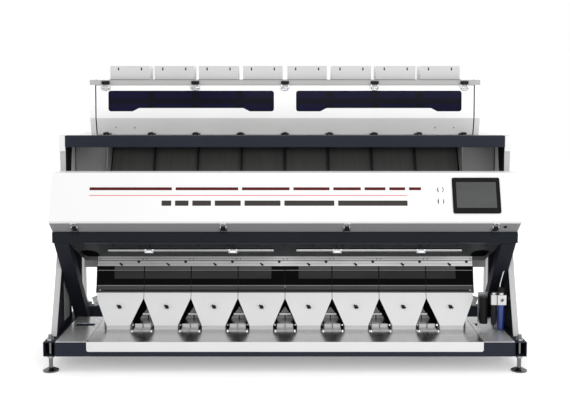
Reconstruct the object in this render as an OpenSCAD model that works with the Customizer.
// Multi-chute optical colour sorter with hinged control hood, vibratory feeders and outlet hoppers.
// Millimetres, +Z up, X along the row of chutes, front of the machine towards -Y.

/* [Chute bank] */
// Spacing of the chutes along the machine
pitch = 340; // [320:1:380]
// Slope of the chutes from the horizontal, degrees
chute_angle = 62; // [60:0.5:63]
// Depth of the chute side walls
chute_wall = 35; // [20:1:40]

/* [Base] */
// Distance from the bank of chutes to the outside of the base
end_bay = 285; // [275:1:320]
// Width of a base side rail
rail_w = 82; // [74:1:90]
// Height of the base rails
rail_h = 100; // [80:1:120]
// Wall of the base tubes
rail_wall = 5; // [3:0.5:8]
// Height of the base rails above the floor
foot_gap = 110; // [95:1:130]
// Depth of the base from front to back
base_depth = 1120; // [1110:1:1200]
// Depth of a base cross rail
cross_d = 80; // [60:1:90]
// Diameter of a levelling foot disc
foot_d = 108; // [90:1:130]
// Diameter of a levelling foot stem
stem_d = 28; // [20:1:32]
// Distance of a foot from the end of its rail
foot_inset = 40; // [36:1:60]
// Thickness of the floor sheets
sheet = 3; // [2:0.5:4]
// Depth of the tray lip below the tray
lip_drop = 65; // [40:1:80]

/* [Side frames] */
// Width of a leg across the machine
leg_w = 42; // [36:1:50]
// Depth of a leg from front to back
leg_d = 60; // [50:1:70]
// Distance of the leg inside the base
leg_inset = 18; // [10:1:24]
// Front of the leg at the base
leg_foot = 133; // [120:1:150]
// Front of the leg above its knee
leg_post = 470; // [462:1:476]
// Height of the knee in the leg
knee_z = 1126; // [1080:1:1140]
// Width of a diagonal brace across the machine
brace_w = 100; // [80:1:104]
// Depth of a diagonal brace, level
brace_d = 90; // [70:1:96]
// Height of the underside of the deck
deck_z = 1507; // [1500:1:1530]
// Height of the deck rails
deck_h = 63; // [50:1:70]
// Height of the front deck beam
deck_beam_h = 83; // [76:1:90]
// Back of the deck
deck_back = 1390; // [1380:1:1420]

/* [Hood and optics] */
// Overhang of the control hood past the inside of the legs
hood_over = 10; // [0:1:20]
// Sheet thickness of the hood
hood_t = 3; // [2:0.5:4]
// Height of the front beam
beam_h = 74; // [66:1:80]
// Height of the underside of the front beam
beam_z = 872; // [866:1:880]
// Sheet thickness of the camera boxes
box_t = 4; // [3:0.5:6]
// Back of the front camera box
box_back = 574; // [566:1:580]
// Diameter of the grab bars under the front camera box
grab_d = 24; // [14:1:28]
// Height of the rear camera box
rear_box_z = 520; // [514:1:540]
// Depth of the rear camera box
rear_box_d = 310; // [290:1:330]
// Width of the screen bezel
bezel_w = 324; // [300:1:340]
// Height of the screen bezel along the hood face
bezel_h = 248; // [220:1:256]
// Diameter of a push button
button_d = 28; // [22:1:32]

/* [Feeder housing] */
// Overhang of the housing past the bank at each end
housing_over = 123; // [118:1:130]
// Height of the housing walls
housing_h = 385; // [380:1:395]
// Width of the fixed end cap on the housing front
cap_w = 40; // [30:1:48]
// Sheet thickness of the housing
skin = 3; // [2:0.5:4]
// Height of the housing lid
lid_h = 38; // [30:1:45]
// Width of an inlet box
inlet_w = 303; // [280:1:310]
// Depth of an inlet box
inlet_d = 180; // [150:1:190]
// Height of an inlet box above the lid
inlet_h = 108; // [80:1:120]

/* [Outlets] */
// Height of the hopper rim
rim_z = 450; // [446:1:452]
// Width of a hopper spout
spout_w = 167; // [140:1:190]
// Sheet thickness of the hoppers
hop_t = 2; // [1.5:0.5:3]
// Diameter of the door hinge rod
hinge_rod = 8; // [6:1:9]

/* [Hidden] */
$fn = 48;
chute_count = 8;
fit = 0.05;
gap = 0.3;
mid_d = 688;
bank_half = chute_count * pitch / 2;
base_half = bank_half + end_bay;
rail_in = base_half - rail_w;
base_top = foot_gap + rail_h;
foot_x = base_half - rail_w / 2;
leg_out = base_half - leg_inset;
leg_in = leg_out - leg_w;
deck_top = deck_z + deck_h;
deck_beam_top = deck_z + deck_beam_h;
hood_w = leg_in + hood_over;
beam_top = beam_z + beam_h;
brace_in = leg_in - brace_w;
box_half = brace_in - 5;
wall_in = bank_half + 1;
wall_out = wall_in + box_t;
rear_box_f = 980;
rear_box_b = rear_box_f + rear_box_d;
rear_box_top = 1080;
housing_half = bank_half + housing_over;
cap_in = housing_half - cap_w;
cover_half = cap_in - 9;
housing_top = deck_top + housing_h;
lid_top = housing_top + lid_h;
house_f = 821;
crease_d = 814;
crease_z = deck_top + 134;
tray_top = base_top + sheet;
mid_beam_f = 850;
mid_beam_b = 930;
nut_d = stem_d * 1.75;
rear_post_b = base_depth - foot_inset - nut_d / 2 - 10;
filler_d = rear_post_b - leg_d - 60.5;
hair = 0.02;
spout_z = tray_top + 25;
door_slope = atan2(102, 214);
door_axis = [401, rim_z + 13];
door_len = 236;
hood_axis = [300, 1332];
hood_low = [12, 1032];
hood_ridge = [127, 1354];
hood_lean = atan2(hood_ridge[0] - hood_low[0], hood_ridge[1] - hood_low[1]);
cover_axis = [798, deck_top + 18];
latch_axis = [808, housing_top - 18];
clip_x = [for (k = [-1, -0.2935, 0.2935, 1]) k * (hood_w - 164)];
clip_t = unit([114, beam_top] - hood_low);
clip_n = -left(clip_t);
clip_axis = hood_low + clip_t * 60 + clip_n * 8;
strut_foot = [380, 1100];
strut_head = [120, 1180];
strut_len = norm(strut_head - strut_foot);
strut_ang = atan2(strut_head[1] - strut_foot[1], strut_head[0] - strut_foot[0]);
rear_door_axis = [rear_box_b + 12, rear_box_top - 14];
chute_low = [758, 860];
chute_top = [758 + 740 / tan(chute_angle), 1600];
feed_z = deck_top + 72;
slot_d = chute_low[0] + (deck_top - chute_low[1]) / tan(chute_angle);
frl_x = rail_in - 33;
frl_d = 250;

function chute_x(i) = (i - (chute_count - 1) / 2) * pitch;
function unit(v) = v / norm(v);
function left(v) = [-v[1], v[0]];
function mitre(a, b, c, t) = let (n = left(unit(b - a)), m = left(unit(c - b))) b + (n + m) / (1 + n * m) * t;
function side(p, t) = [for (i = [0:len(p) - 1])
  i == 0 ? p[0] + left(unit(p[1] - p[0])) * t :
  i == len(p) - 1 ? p[i] + left(unit(p[i] - p[i - 1])) * t : mitre(p[i - 1], p[i], p[i + 1], t)];
function strip(p, t) = let (s = side(p, t)) concat(p, [for (i = [len(p) - 1:-1:0]) s[i]]);
function under_z(d) = beam_z - 4 - (d - 100) * (beam_z - 4 - 657) / (box_back - 100);
function roof_z(d) = 1310 - 60 * (d - 250) / (box_back - 250) - box_t / cos(atan2(60, box_back - 250));
function leg_line(z) = leg_foot + (z - base_top) * (leg_post - leg_foot) / (knee_z - base_top);
function chute_at(s) = chute_low + unit(chute_top - chute_low) * s;
function hood_at(u) = hood_ridge + unit(hood_low - hood_ridge) * u;
function cover_d(z) = house_f + (z - housing_top) * (house_f - crease_d) / (housing_top - crease_z);

// Profile of [depth, height] points drawn out along X
module prism(p, x0, x1) {
  translate([x0, 0, 0])
    rotate([90, 0, 90])
      linear_extrude(x1 - x0)
        polygon([for (q = p) [q[0] - mid_d, q[1]]]);
}

module blk(x, d, z) {
  translate([x[0], d[0] - mid_d, z[0]])
    cube([x[1] - x[0], d[1] - d[0], z[1] - z[0]]);
}

module rod_x(x0, x1, p, r) {
  translate([x0, p[0] - mid_d, p[1]])
    rotate([0, 90, 0])
      cylinder(h = x1 - x0, r = r);
}

module pair() {
  children();
  mirror([1, 0, 0])
    children();
}

module tube_x(x, d, z, t) {
  difference() {
    blk(x, d, z);
    blk([x[0] - 1, x[1] + 1], [d[0] + t, d[1] - t], [z[0] + t, z[1] - t]);
  }
}

module tube_y(x, d, z, t) {
  difference() {
    blk(x, d, z);
    blk([x[0] + t, x[1] - t], [d[0] - 1, d[1] + 1], [z[0] + t, z[1] - t]);
  }
}

module tube_z(x, d, z, t) {
  difference() {
    blk(x, d, z);
    blk([x[0] + t, x[1] - t], [d[0] + t, d[1] - t], [z[0] - 1, z[1] + 1]);
  }
}

module round_rect(w, h, r) {
  square([w - 2 * r, h], center = true);
  square([w, h - 2 * r], center = true);
  for (a = [-1, 1], b = [-1, 1])
    translate([a * (w / 2 - r), b * (h / 2 - r)])
      circle(r);
}

// Four-sided funnel between a top and a bottom rectangle, each [half width, front, back, height]
module funnel(a, b) {
  polyhedron(
    points = [for (r = [b, a], c = [[-1, 1], [1, 1], [1, 2], [-1, 2]])
      [c[0] * r[0], r[c[1]] - mid_d, r[3]]],
    faces = [[0, 1, 2, 3], [7, 6, 5, 4], [4, 5, 1, 0], [5, 6, 2, 1], [6, 7, 3, 2], [7, 4, 0, 3]]);
}

// Frame standing on the hood face: origin on the face, local -Y outward, local Z up the face
module on_hood(x, u) {
  p = hood_at(u);
  translate([x, p[0] - mid_d, p[1]])
    rotate([-hood_lean, 0, 0])
      children();
}

module base_side_rails() {
  color("#262A33")
    pair()
      difference() {
        tube_y([rail_in, base_half], [0, base_depth], [foot_gap, base_top], rail_wall);
        for (d = [foot_inset, base_depth - foot_inset])
          translate([foot_x, d - mid_d, foot_gap - 1])
            cylinder(h = rail_h + 2, d = stem_d + 2 * gap);
      }
}

module base_cross_rails() {
  color("#262A33")
    for (d = [0, 470, 960])
      tube_x([-rail_in, rail_in], [d, d + cross_d], [foot_gap, base_top], rail_wall);
}

module foot_nuts() {
  color("#8C8F93")
    pair()
      for (d = [foot_inset, base_depth - foot_inset], z = [base_top, foot_gap - 18])
        translate([foot_x, d - mid_d, z])
          difference() {
            cylinder(h = 18, d = nut_d, $fn = 6);
            translate([0, 0, -1])
              cylinder(h = 20, d = stem_d + 2 * gap);
          }
}

module levelling_feet() {
  color("#77797C")
    pair()
      for (d = [foot_inset, base_depth - foot_inset])
        translate([foot_x, d - mid_d, 0]) {
          cylinder(h = 9, d = foot_d);
          translate([0, 0, 9])
            cylinder(h = 16, d1 = foot_d, d2 = stem_d + 14);
          translate([0, 0, 25])
            cylinder(h = base_top + 17, d = stem_d);
        }
}

module discharge_tray() {
  color("#C9CBCC")
    difference() {
      union() {
        blk([-bank_half + 10, bank_half - 10], [-sheet, 1000], [base_top, tray_top]);
        translate([0, -mid_d, tray_top - (lip_drop + sheet) / 2])
          rotate([90, 0, 0])
            linear_extrude(sheet)
              union() {
                round_rect(chute_count * pitch - 20, lip_drop + sheet, 14);
                translate([0, 10])
                  square([chute_count * pitch - 20, lip_drop + sheet - 20], center = true);
              }
      }
      for (i = [0:chute_count - 1], d = [[306, 413], [660, 760]])
        blk([chute_x(i) - spout_w / 2 + 6, chute_x(i) + spout_w / 2 - 6], d, [base_top - 1, tray_top + 1]);
    }
}

module floor_plates() {
  color("#B9BBBD")
    pair()
      difference() {
        blk([bank_half - 7, rail_in - 3], [0, 640], [base_top, tray_top]);
        blk([bank_half + 25, rail_in - 40], [393, 464], [base_top - 1, tray_top + 1]);
      }
}

module front_legs() {
  color("#C4C4C4")
    pair()
      difference() {
        prism([[leg_foot, base_top], [leg_post, knee_z], [leg_post, deck_beam_top],
          [leg_post + leg_d, deck_beam_top], [leg_post + leg_d, knee_z], [leg_foot + leg_d, base_top]],
          leg_in, leg_out);
        prism([[leg_foot + 5, base_top - 1], [leg_post + 5, knee_z - 1],
          [leg_post + 5, deck_beam_top - 4], [leg_post + leg_d - 5, deck_beam_top - 4],
          [leg_post + leg_d - 5, knee_z - 1], [leg_foot + leg_d - 5, base_top - 1]],
          leg_in + 4, leg_out - 4);
      }
}

module diagonal_braces() {
  a = [150, beam_z];
  b = [690, base_top];
  h = brace_d / 2;
  color("#262A33")
    pair()
      difference() {
        prism([a - [h, 0], b - [h, 0], b + [h, 0], a + [h, 0]], brace_in, leg_in);
        prism([a - [h - 6, -1], b - [h - 6, 1], b + [h - 6, -1], a + [h - 6, 1]], brace_in + 5, leg_in - 5);
      }
}

module rear_posts() {
  color("#C4C4C4")
    pair()
      tube_z([leg_in, leg_out], [rear_post_b - leg_d, rear_post_b], [base_top, deck_z], 4);
}

module deck_frame() {
  color("#262A33") {
    tube_x([-leg_in, leg_in], [leg_post - 20, leg_post + leg_d], [deck_z, deck_beam_top], 4);
    tube_x([-leg_in, leg_in], [mid_beam_f, mid_beam_b], [deck_z, deck_top], 4);
    tube_x([-leg_in, leg_in], [deck_back - 80, deck_back], [deck_z, deck_top], 4);
    pair()
      tube_y([leg_in, leg_out], [leg_post + leg_d, deck_back], [deck_z, deck_top], 4);
  }
}

module side_covers() {
  color("#F4F4F4")
    pair()
      prism([[leg_line(650) + 8, 650], [leg_post + 8, knee_z], [leg_post + 8, deck_z],
        [rear_post_b, deck_z], [rear_post_b, 650]], leg_out, leg_out + 2);
}

module end_panels() {
  color("#B4B4B4") {
    pair()
      blk([wall_out, leg_out], [filler_d, filler_d + 3], [rear_box_top + 70, deck_z]);
    pair()
      blk([leg_in, leg_out], [leg_post - 15, leg_post], [deck_z - 30, deck_beam_top]);
  }
}

module front_beam() {
  color("#1F2227")
    tube_x([-hood_w, hood_w], [100, 180], [beam_z, beam_top], 4);
}

module front_camera_box() {
  path = [[100, beam_z - 4], [box_back, 657], [box_back, 1250], [250, 1310], [180, 1180],
    [180, beam_top - 40]];
  color("#2B2D31")
    difference() {
      union() {
        prism(strip(path, box_t), -box_half, box_half);
        pair() {
          prism([[100, beam_z - 4], [box_back, 657], [box_back, 1250], [250, 1310], [180, 1180],
            [180, beam_z - 4 - 80 * 0.02]], box_half - box_t, box_half);
          blk([box_half - 1, leg_in], [leg_post + 10, leg_post + 50], [1180, 1220]);
        }
        blk([-bank_half + 5, bank_half - 5], [box_back - 1, box_back + 12], [800, 820]);
      }
      blk([-bank_half + 20, bank_half - 20], [box_back - 20, box_back + 1], [845, 975]);
      for (s = [-1.5, -0.5, 0.5, 1.5])
        blk([s * bank_half / 2 - 270, s * bank_half / 2 + 270], [170, 200], [980, 1160]);
      pair()
        for (d = [330, 414])
          translate([bank_half + 36, d - mid_d, under_z(d) - 20])
            cylinder(h = 60, r = 57);
      pair()
        blk([bank_half - 21, bank_half + 93], [330, 414], [under_z(414) - 20, under_z(330) + 40]);
    }
}

// Camera body with lens, origin at the lens front, looking along local +Y
module camera_unit() {
  translate([-35, -150, -35])
    cube([70, 90, 70]);
  rotate([90, 0, 0])
    translate([0, 0, 20])
      cylinder(h = 41, d = 52);
}

module cameras() {
  color("#3A3D42")
    for (i = [0:chute_count - 1]) {
      translate([chute_x(i), 430 - mid_d, 1040])
        rotate([-44, 0, 0])
          camera_unit();
      prism([[330, 1130], [350, 1130], [350, roof_z(350)], [330, roof_z(330)]],
        chute_x(i) - 20, chute_x(i) + 20);
      translate([chute_x(i), 1090 - mid_d, 700])
        rotate([0, 0, 180])
          camera_unit();
      blk([chute_x(i) - 20, chute_x(i) + 20], [1180, 1200], [rear_box_z + box_t, 665]);
    }
}

module chamber_glasses() {
  color("#9FB4B8") {
    blk([-bank_half + 8, bank_half - 8], [box_back, box_back + 6], [832, 988]);
    blk([-bank_half + 8, bank_half - 8], [rear_box_f - 6, rear_box_f], [688, 842]);
  }
}

module lamp_tubes() {
  color("#EDEFF0") {
    for (p = [[520, 800], [500, 1080]])
      rod_x(-box_half + box_t, box_half - box_t, p, 14);
    for (p = [[1030, 640], [1030, 900]])
      rod_x(-leg_in + box_t, leg_in - box_t, p, 14);
  }
}

module grab_bars() {
  q = [150, beam_z - 57];
  color("#C8CACB")
    pair() {
      rod_x(79, bank_half - 140, q, grab_d / 2);
      for (x = [360, bank_half - 421])
        prism([[q[0] - 8, q[1]], [q[0] + 8, q[1]], [q[0] + 8, under_z(q[0] + 8)],
          [q[0] - 8, under_z(q[0] - 8)]], x - 8, x + 8);
    }
}
module chamber_rails() {
  color("#BFC1C2") {
    prism([[434, 644], [456, under_z(456)], [478, under_z(478)], [456, 644]], -wall_in, wall_in);
    for (i = [0:chute_count - 1])
      prism([[402, rim_z + 26], [405, 503], [417, 503], [414, rim_z + 26]],
        chute_x(i) - pitch / 2 + 2, chute_x(i) + pitch / 2 - 2);
  }
}

module window_band() {
  color("#0B0B0D")
    for (i = [0:chute_count - 1])
      prism([[405, 503], [434, 644], [440, 644], [411, 503]],
        chute_x(i) - pitch / 2 + 1.5, chute_x(i) + pitch / 2 - 1.5);
}

module front_hoppers() {
  f = 299;
  b = 420;
  rim_f = f + (rim_z - 238) * 102 / 214;
  color("#CFCFCF")
    for (i = [0:chute_count - 1])
      translate([chute_x(i), 0, 0]) {
        h = pitch / 2 - 2;
        k = (h - spout_w / 2) / (rim_z - spout_z);
        m = (rim_f - f) / (rim_z - spout_z);
        n = (590 - b) / (rim_z - spout_z);
        difference() {
          union() {
            funnel([h, rim_f, 590, rim_z], [spout_w / 2, f, b, spout_z]);
            blk([-spout_w / 2, spout_w / 2], [f, b], [tray_top, spout_z]);
          }
          funnel([h - hop_t + 5 * k, rim_f + hop_t - 60 + 5 * m, 590 - hop_t + 5 * n, rim_z + 5],
            [spout_w / 2 - hop_t, f - 60, b - hop_t, spout_z]);
          blk([-spout_w / 2 + hop_t, spout_w / 2 - hop_t], [f + hop_t, b - hop_t],
            [tray_top - 1, spout_z + 0.01]);
        }
      }
}

module hopper_door(i) {
  translate([chute_x(i), door_axis[0] - mid_d, door_axis[1]])
    rotate([-door_slope, 0, 0]) {
      difference() {
        union() {
          translate([0, 4.5, 0])
            rotate([90, 0, 0])
              linear_extrude(3)
                polygon([[-pitch / 2 + 2, 0], [-pitch / 2 + 2, -50], [-spout_w / 2, -door_len - 10],
                  [spout_w / 2, -door_len - 10], [pitch / 2 - 2, -50], [pitch / 2 - 2, 0]]);
          translate([-pitch / 2 + 2, 0, 0])
            rotate([0, 90, 0])
              cylinder(h = pitch - 4, d = hinge_rod + 7);
        }
        translate([-pitch / 2, 0, 0])
          rotate([0, 90, 0])
            cylinder(h = pitch, d = hinge_rod + 2 * fit);
      }
      translate([0, 1.5, -112])
        rotate([90, 0, 0])
          cylinder(h = 12, d = 26);
      translate([0, -10.5, -112])
        rotate([0, 35, 0])
          translate([-19, -11, -5])
            cube([38, 11, 10]);
    }
}

module hopper_door_1() {
  color("#E6E6E6")
    hopper_door(0);
}

module hopper_door_2() {
  color("#E6E6E6")
    hopper_door(1);
}

module hopper_door_3() {
  color("#E6E6E6")
    hopper_door(2);
}

module hopper_door_4() {
  color("#E6E6E6")
    hopper_door(3);
}

module hopper_door_5() {
  color("#E6E6E6")
    hopper_door(4);
}

module hopper_door_6() {
  color("#E6E6E6")
    hopper_door(5);
}

module hopper_door_7() {
  color("#E6E6E6")
    hopper_door(6);
}

module hopper_door_8() {
  color("#E6E6E6")
    hopper_door(7);
}

module chamber_walls() {
  color("#8A8C8E") {
    pair()
      prism([[392, rim_z + 2], [rear_box_f, rim_z + 2], [rear_box_f, rear_box_top], [1170, rear_box_top],
        [1170, deck_z], [mid_beam_f + 20, deck_z], [730, 900], [box_back, 900], [box_back, 657],
        [456, under_z(456)], [434, 644], [405, 503], [392, rim_z + 24]], wall_in, wall_out);
    blk([-bank_half + 10, bank_half - 10], [591, 593], [tray_top, rim_z]);
    for (i = [1:chute_count - 1])
      prism([[440, 644], [700, 644], [700, rim_z + 2], [418, rim_z + 2], [418, 537]],
        chute_x(i) - pitch / 2 - 1.2, chute_x(i) - pitch / 2 + 1.2);
  }
}

module ejector_manifold() {
  color("#9A9DA0") {
    blk([-wall_in, wall_in], [700, 760], [600, 660]);
    for (i = [0:chute_count - 1])
      blk([chute_x(i) - 140, chute_x(i) + 140], [760, 800], [606, 654]);
  }
}

module wiper_carriage() {
  color("#45484C") {
    blk([chute_x(0) - 160, chute_x(chute_count - 1) - 148], [box_back + 12 + gap, box_back + 22], [800, 830]);
    for (i = [0:chute_count - 1])
      blk([chute_x(i) - 160, chute_x(i) - 148], [box_back + 6 + gap, box_back + 22], [830, 988]);
  }
}

module chutes() {
  color("#3A3A38")
    for (i = [0:chute_count - 1])
      translate([chute_x(i), 0, 0]) {
        prism(strip([chute_low, chute_top], 3), -pitch / 2 + 1, pitch / 2 - 1);
        pair()
          prism(strip([chute_low, chute_top], chute_wall), pitch / 2 - 3, pitch / 2 - 1);
      }
}

module chute_bars() {
  color("#55585C")
    for (s = [300, 650])
      prism(strip([chute_at(s), chute_at(s + 40)], -40), -wall_in, wall_in);
}

module rear_camera_box() {
  color("#8E9092")
    difference() {
      blk([-leg_in, leg_in], [rear_box_f, rear_box_b], [rear_box_z, rear_box_top]);
      blk([-leg_in + box_t, leg_in - box_t], [rear_box_f + box_t, rear_box_b - box_t],
        [rear_box_z + box_t, rear_box_top - box_t]);
      blk([-bank_half + 20, bank_half - 20], [rear_box_f - 1, rear_box_f + box_t + 1], [700, 830]);
      pair()
        blk([40, leg_in - 60], [rear_box_b - box_t - 1, rear_box_b + 1],
          [rear_box_z + 50, rear_box_top - 70]);
    }
}

module rear_hoppers() {
  color("#BDBFC0")
    for (i = [0:chute_count - 1])
      translate([chute_x(i), 0, 0]) {
        h = pitch / 2 - 2;
        k = (h - spout_w / 2) / (rim_z - spout_z);
        m = (594 - 652) / (rim_z - spout_z);
        n = (972 - 768) / (rim_z - spout_z);
        difference() {
          union() {
            funnel([h, 594, 972, rim_z], [spout_w / 2, 652, 768, spout_z]);
            blk([-spout_w / 2, spout_w / 2], [652, 768], [tray_top, spout_z]);
          }
          funnel([h - hop_t + 5 * k, 594 + hop_t + 5 * m, 972 - hop_t + 5 * n, rim_z + 5],
            [spout_w / 2 - hop_t, 652 + hop_t, 768 - hop_t, spout_z]);
          blk([-spout_w / 2 + hop_t, spout_w / 2 - hop_t], [652 + hop_t, 768 - hop_t],
            [tray_top - 1, spout_z + 0.01]);
        }
      }
}

// Door panel with hinge ears, hung from its top edge on the right half of the back
module rear_door() {
  a = rear_door_axis;
  difference() {
    union() {
      blk([8, leg_in - 30], [rear_box_b + gap, rear_box_b + 3], [rear_box_z + 20, rear_box_top - 40]);
      for (x = [leg_in * 0.15, leg_in * 0.82]) {
        blk([x - 20, x + 20], [rear_box_b + gap, rear_box_b + 3], [rear_box_top - 60, a[1]]);
        prism([[rear_box_b + gap, a[1] - 10], [a[0], a[1] - 8], [a[0], a[1] + 8], [rear_box_b + 3, a[1]]],
          x - 20, x + 20);
        rod_x(x - 20, x + 20, a, 8);
      }
      for (x = [leg_in / 2 - 60, leg_in / 2 + 50])
        blk([x, x + 10], [rear_box_b + 2, rear_box_b + 30], [rear_box_z + 60, rear_box_z + 72]);
      blk([leg_in / 2 - 60, leg_in / 2 + 60], [rear_box_b + 30, rear_box_b + 38],
        [rear_box_z + 60, rear_box_z + 72]);
    }
    for (x = [leg_in * 0.15, leg_in * 0.82])
      rod_x(x - 30, x + 30, a, 5 + fit);
  }
}

module rear_door_left() {
  color("#E8E8E8")
    mirror([1, 0, 0])
      rear_door();
}

module rear_door_right() {
  color("#E8E8E8")
    rear_door();
}

module housing_shell() {
  front = [[house_f, housing_top], [crease_d, crease_z], [mid_beam_f, deck_top]];
  color("#F2F2F2")
    difference() {
      union() {
        pair() {
          prism(strip(front, skin), cap_in, housing_half);
          prism(concat(front, [[deck_back, deck_top], [deck_back, housing_top]]), housing_half - skin,
            housing_half);
        }
        blk([-housing_half, housing_half], [deck_back - skin, deck_back], [deck_top, housing_top]);
        blk([-housing_half, housing_half], [mid_beam_f + 6, deck_back], [deck_top, deck_top + skin]);
      }
      blk([-bank_half, bank_half], [slot_d - 60, slot_d + 12], [deck_top - 1, deck_top + skin + 1]);
    }
}

// Strips and cross plates around the inlets, on a rim of four upright sheets
module housing_lid() {
  top = [lid_top - skin, lid_top];
  rim = [housing_top, lid_top - skin - hair];
  color("#C0C0BE") {
    blk([-housing_half, housing_half], [house_f, 898 - hair], top);
    blk([-housing_half, housing_half], [898 + inlet_d + hair, deck_back], top);
    for (i = [0:chute_count])
      blk([i == 0 ? -housing_half : chute_x(i - 1) + inlet_w / 2,
        i == chute_count ? housing_half : chute_x(i) - inlet_w / 2], [898, 898 + inlet_d], top);
    blk([-housing_half, housing_half], [house_f, house_f + skin], rim);
    blk([-housing_half, housing_half], [deck_back - skin, deck_back], rim);
    pair()
      blk([housing_half - skin, housing_half], [house_f + skin + hair, deck_back - skin - hair], rim);
  }
}

module inlet_boxes() {
  color("#E2E2E2")
    for (i = [0:chute_count - 1])
      difference() {
        union() {
          blk([chute_x(i) - inlet_w / 2, chute_x(i) + inlet_w / 2], [898, 898 + inlet_d],
            [feed_z + 55, lid_top + inlet_h]);
          blk([chute_x(i) - inlet_w / 2 - 10, chute_x(i) + inlet_w / 2 + 10], [898, 898 + inlet_d + 10],
            [lid_top, lid_top + 3]);
        }
        blk([chute_x(i) - inlet_w / 2 + 2.5, chute_x(i) + inlet_w / 2 - 2.5], [900.5, 898 + inlet_d - 2.5],
          [feed_z + 50, lid_top + inlet_h + 1]);
        for (s = [-0.29, 0.29])
          blk([chute_x(i) + s * inlet_w - 5, chute_x(i) + s * inlet_w + 5], [890, 905],
            [lid_top + inlet_h - 34, lid_top + inlet_h - 12]);
      }
}

// Outline of one inspection window with a raised sill
module window_shape(grow) {
  w = cover_half - 91 - 84;
  difference() {
    round_rect(w + 2 * grow, 157 + 2 * grow, 20);
    polygon([[-w / 2 + 183, -79 - grow], [-w / 2 + 233, -53.5 - grow], [w / 2 - 233, -53.5 - grow],
      [w / 2 - 183, -79 - grow]]);
  }
}

module window_cut(grow, d0, d1) {
  translate([(cover_half - 91 + 84) / 2, d1 - mid_d, crease_z + 129.5])
    rotate([90, 0, 0])
      linear_extrude(d1 - d0)
        window_shape(grow);
}

// Catch plate with two cheeks and the pin of a toggle latch
module latch_base(x) {
  z = latch_axis[1];
  for (a = [x - 37, x + 31 + gap])
    blk([a, a + 6 - gap], [latch_axis[0] - 4, cover_d(z) + 1], [z - 8, z + 5]);
  blk([x - 37, x + 37], [latch_axis[0] + 6.5, cover_d(z) + 1], [z - 20, z - 8]);
  rod_x(x - 35, x + 35, latch_axis, 3);
}

module feeder_cover() {
  low = [mid_beam_f - 2, deck_top + 6];
  front = [[cover_d(housing_top - 3), housing_top - 3], [crease_d, crease_z], low];
  color("#F4F4F4")
    difference() {
      union() {
        prism(strip(front, skin), -cover_half, cover_half);
        for (i = [0:chute_count])
          prism([[cover_axis[0] - 8, cover_axis[1]], [cover_axis[0], cover_axis[1] + 8],
            [low[0] - 3.5, cover_axis[1] + 8], [low[0] - 1, cover_axis[1] - 8],
            [cover_axis[0], cover_axis[1] - 8]], (i - chute_count / 2) * pitch - 12,
            (i - chute_count / 2) * pitch + 12);
        for (i = [0:chute_count])
          rod_x((i - chute_count / 2) * pitch - 12, (i - chute_count / 2) * pitch + 12, cover_axis, 8);
        for (i = [0:chute_count / 2])
          latch_base((i - chute_count / 4) * 2 * pitch);
      }
      for (i = [0:chute_count])
        rod_x((i - chute_count / 2) * pitch - 20, (i - chute_count / 2) * pitch + 20, cover_axis, 4 + fit);
      pair()
        window_cut(0, house_f - 20, house_f + 20);
    }
}

module cover_windows() {
  pane = [[cover_d(crease_z + 222) + skin + 0.1, crease_z + 222],
    [cover_d(crease_z + 38) + skin + 0.1, crease_z + 38]];
  color("#1F1D38")
    pair()
      prism(strip(pane, 4), 74, cover_half - 81);
}

module cover_latches() {
  color("#191A1C")
    for (i = [0:chute_count / 2])
      translate([(i - chute_count / 4) * 2 * pitch, latch_axis[0] - mid_d, latch_axis[1]]) {
        difference() {
          union() {
            translate([-30, -6, 22])
              cube([60, 10, 26]);
            for (a = [-30, 22])
              translate([a, -4, 0])
                cube([8, 6, 22.01]);
            translate([-30, 0, 0])
              rotate([0, 90, 0])
                cylinder(h = 60, r = 6);
          }
          translate([-40, 0, 0])
            rotate([0, 90, 0])
              cylinder(h = 80, r = 3 + fit);
        }
      }
}

module feeder_trays() {
  color("#B7B9BA")
    for (i = [0:chute_count - 1])
      difference() {
        blk([chute_x(i) - 148, chute_x(i) + 148], [868, 1100], [feed_z, feed_z + 45]);
        blk([chute_x(i) - 145, chute_x(i) + 145], [871, 1101], [feed_z + 3, feed_z + 46]);
      }
}

module feeder_drives() {
  color("#4A4E54")
    for (i = [0:chute_count - 1]) {
      blk([chute_x(i) - 60, chute_x(i) + 60], [905, 1045], [deck_top + skin, feed_z - 12]);
      for (d = [915, 1030])
        blk([chute_x(i) - 40, chute_x(i) + 40], [d, d + 5], [feed_z - 12, feed_z]);
    }
}

// Round-topped ear of a fixed hinge bracket with its pin
module fixed_ears(x, p, r, w, e, base) {
  for (s = [-1, 1])
    difference() {
      union() {
        rod_x(x + s * (w + gap + e / 2) - e / 2, x + s * (w + gap + e / 2) + e / 2, p, r);
        prism(base, x + s * (w + gap + e / 2) - e / 2, x + s * (w + gap + e / 2) + e / 2);
      }
    }
}

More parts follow.
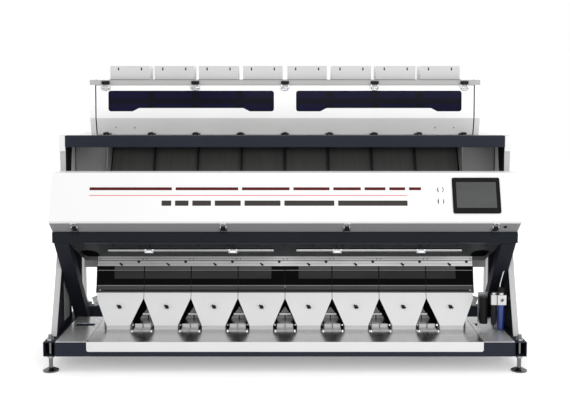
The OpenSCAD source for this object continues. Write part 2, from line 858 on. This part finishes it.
module fittings() {
  color("#191A1C") {
    for (i = [0:chute_count]) {
      x = (i - chute_count / 2) * pitch;
      fixed_ears(x, cover_axis, 8, 12, 6, [[cover_axis[0] - 8, cover_axis[1]],
        [cover_axis[0] + 8, cover_axis[1]], [cover_axis[0] + 8, deck_top - 4], [mid_beam_f, deck_top - 4],
        [mid_beam_f, deck_top - 30], [cover_axis[0] - 8, deck_top - 30]]);
      rod_x(x - 12 - gap - 5, x + 12 + gap + 5, cover_axis, 4);
    }
    for (x = [-0.75, -0.25, 0.25, 0.75]) {
      y = x * bank_half;
      fixed_ears(y, hood_axis, 9, 20, 8, [[hood_axis[0] - 9, hood_axis[1]], [hood_axis[0] + 9, hood_axis[1]],
        [hood_axis[0] + 9, 1310 - 60 * (hood_axis[0] + 9 - 250) / (box_back - 250)],
        [hood_axis[0] - 9, 1310 - 60 * (hood_axis[0] - 9 - 250) / (box_back - 250)]]);
      rod_x(y - 20 - gap - 7, y + 20 + gap + 7, hood_axis, 5);
    }
    pair()
      for (x = [leg_in * 0.15, leg_in * 0.82]) {
        fixed_ears(x, rear_door_axis, 8, 20, 6, [[rear_box_b, rear_door_axis[1] + 8],
          [rear_door_axis[0], rear_door_axis[1] + 8], [rear_door_axis[0], rear_door_axis[1] - 8],
          [rear_box_b, rear_door_axis[1] - 8]]);
        rod_x(x - 20 - gap - 5, x + 20 + gap + 5, rear_door_axis, 5);
      }
    rod_x(-wall_in, wall_in, door_axis, hinge_rod / 2);
    for (i = [0:chute_count / 2])
      blk([(i - chute_count / 4) * 2 * pitch - 14, (i - chute_count / 4) * 2 * pitch + 14],
        [house_f - 8, house_f], [housing_top + 6, housing_top + 26]);
    for (k = clip_x)
      blk([k - 12, k + 12], [94, 100], [beam_top - 26, beam_top - 10]);
    pair()
      rod_x(box_half, box_half + 45, strut_foot, 5);
  }
}

module hood_shell() {
  back = [330, 1346];
  low = [114, beam_top];
  path = [back, hood_ridge, hood_low, low];
  color("#FAFAFA") {
    difference() {
      union() {
        prism(strip(path, hood_t), -hood_w, hood_w);
        pair()
          prism([back, hood_ridge, hood_low, low, [200, beam_top + 20], [300, 1240]],
            hood_w - hood_t, hood_w);
        for (x = [-0.75, -0.25, 0.25, 0.75]) {
          blk([x * bank_half - 20, x * bank_half + 20], [hood_axis[0] - 9, hood_axis[0] + 9],
            [hood_axis[1], 1344.5]);
          rod_x(x * bank_half - 20, x * bank_half + 20, hood_axis, 9);
        }
        pair()
          rod_x(box_half + 40 + gap, hood_w - 1, strut_head, 5);
        for (k = clip_x) {
          for (a = [k - 22, k + 16 + gap])
            prism([clip_axis + clip_n * 4 - clip_t * 5, clip_axis + clip_n * 4 + clip_t * 5,
              clip_axis - clip_n * 9 + clip_t * 5, clip_axis - clip_n * 9 - clip_t * 5], a, a + 6 - gap);
          rod_x(k - 20, k + 20, clip_axis, 3);
        }
      }
      for (x = [-0.75, -0.25, 0.25, 0.75])
        rod_x(x * bank_half - 30, x * bank_half + 30, hood_axis, 5 + fit);
      for (u = [119, 200])
        on_hood(bank_half - 304, u)
          rotate([90, 0, 0])
            translate([0, 0, -20])
              cylinder(h = 40, d = button_d + 2 * gap);
    }
    for (u = [119, 200])
      on_hood(bank_half - 304, u)
        rotate([90, 0, 0])
          difference() {
            cylinder(h = 5, d = button_d + 12);
            translate([0, 0, -1])
              cylinder(h = 7, d = button_d + 2 * gap);
          }
  }
}

module screen_bezel() {
  color("#17181A")
    on_hood(bank_half - 61, 160)
      rotate([90, 0, 0])
        translate([0, 0, hair])
          difference() {
            linear_extrude(7)
              round_rect(bezel_w, bezel_h, 12);
            translate([0, 4, 4])
              linear_extrude(4)
                square([bezel_w - 52, bezel_h - 68], center = true);
          }
}

module screen_glass() {
  color("#5A5E62")
    on_hood(bank_half - 61, 160)
      rotate([90, 0, 0])
        translate([0, 4, 4 + hair])
          linear_extrude(2)
            square([bezel_w - 53, bezel_h - 69], center = true);
}

module push_button(u) {
  on_hood(bank_half - 304, u)
    rotate([90, 0, 0])
      translate([0, 0, -10])
        cylinder(h = 20, d = button_d);
}

module start_button() {
  color("#D2D2D0")
    push_button(119);
}

module stop_button() {
  color("#D2D2D0")
    push_button(200);
}

module hood_latches() {
  q = clip_axis;
  color("#191A1C")
    for (k = clip_x)
      difference() {
        union() {
          rod_x(k - 16, k + 16, q, 6);
          prism([q - clip_n * 5.5, q - clip_n * 5.5 + clip_t * 46, q + clip_n * 1 + clip_t * 46,
            q + clip_n * 6], k - 16, k + 16);
        }
        rod_x(k - 20, k + 20, q, 3 + fit);
      }
}

module strut_cylinders() {
  color("#2A2C2F")
    pair()
      difference() {
        union() {
          rod_x(box_half + 20, box_half + 40, strut_foot, 12);
          translate([box_half + 30, strut_foot[0] - mid_d, strut_foot[1]])
            rotate([strut_ang - 90, 0, 0])
              cylinder(h = 190, r = 11);
        }
        rod_x(box_half - 1, box_half + 60, strut_foot, 5 + fit);
        translate([box_half + 30, strut_foot[0] - mid_d, strut_foot[1]])
          rotate([strut_ang - 90, 0, 0])
            translate([0, 0, 20])
              cylinder(h = 200, r = 5 + fit);
      }
}

module strut_rods() {
  color("#B9BCBF")
    pair() {
      translate([box_half + 30, strut_foot[0] - mid_d, strut_foot[1]])
        rotate([strut_ang - 90, 0, 0])
          translate([0, 0, 24])
            cylinder(h = strut_len - 24, r = 5);
      rod_x(box_half + 20, box_half + 40, strut_head, 10);
    }
}

module air_panel() {
  color("#8E9296")
    difference() {
      blk([frl_x - 150, frl_x + 22], [frl_d + 80, frl_d + 84], [tray_top, 478]);
      blk([frl_x - 80, frl_x - 38], [frl_d + 70, frl_d + 90], [290, 479]);
    }
}

module filter_head() {
  color("#B9BCC0")
    difference() {
      union() {
        blk([frl_x - 34, frl_x + 26], [frl_d - 30, frl_d + 30], [410, 480]);
        blk([frl_x - 20, frl_x + 12], [frl_d + 29, frl_d + 80], [425, 465]);
        translate([frl_x - 4, frl_d - mid_d, 480])
          cylinder(h = 14, d = 36);
      }
      translate([frl_x - 4, frl_d - 31 - mid_d, 445])
        rotate([-90, 0, 0])
          cylinder(h = 40, d = 24);
      translate([frl_x - 4, frl_d - mid_d, 470])
        cylinder(h = 40, d = 10 + 2 * fit);
    }
}

module filter_bowl() {
  color("#2A3F80")
    translate([frl_x - 4, frl_d - mid_d, 222]) {
      translate([0, 0, 20])
        cylinder(h = 168, d = 50);
      cylinder(h = 20, d1 = 30, d2 = 50);
    }
}

module mist_separator() {
  color("#17181A")
    translate([frl_x - 115, frl_d + 50 - mid_d, 0]) {
      translate([0, 0, 260])
        cylinder(h = 190, d = 58);
      translate([-22, 0, 380])
        cube([44, 30, 40]);
    }
}

module regulator_knob() {
  color("#202225")
    translate([frl_x - 4, frl_d - mid_d, 0]) {
      translate([0, 0, 494 + gap])
        cylinder(h = 34, d = 42);
      translate([0, 0, 474])
        cylinder(h = 30, d = 10);
    }
}

base_side_rails();
base_cross_rails();
foot_nuts();
levelling_feet();
discharge_tray();
floor_plates();
front_legs();
diagonal_braces();
rear_posts();
deck_frame();
side_covers();
end_panels();
front_beam();
front_camera_box();
cameras();
chamber_glasses();
lamp_tubes();
grab_bars();
chamber_rails();
window_band();
front_hoppers();
hopper_door_1();
hopper_door_2();
hopper_door_3();
hopper_door_4();
hopper_door_5();
hopper_door_6();
hopper_door_7();
hopper_door_8();
chamber_walls();
ejector_manifold();
wiper_carriage();
chutes();
chute_bars();
rear_camera_box();
rear_hoppers();
rear_door_left();
rear_door_right();
housing_shell();
housing_lid();
inlet_boxes();
feeder_cover();
cover_windows();
cover_latches();
feeder_trays();
feeder_drives();
fittings();
hood_shell();
screen_bezel();
screen_glass();
start_button();
stop_button();
hood_latches();
strut_cylinders();
strut_rods();
air_panel();
filter_head();
filter_bowl();
mist_separator();
regulator_knob();
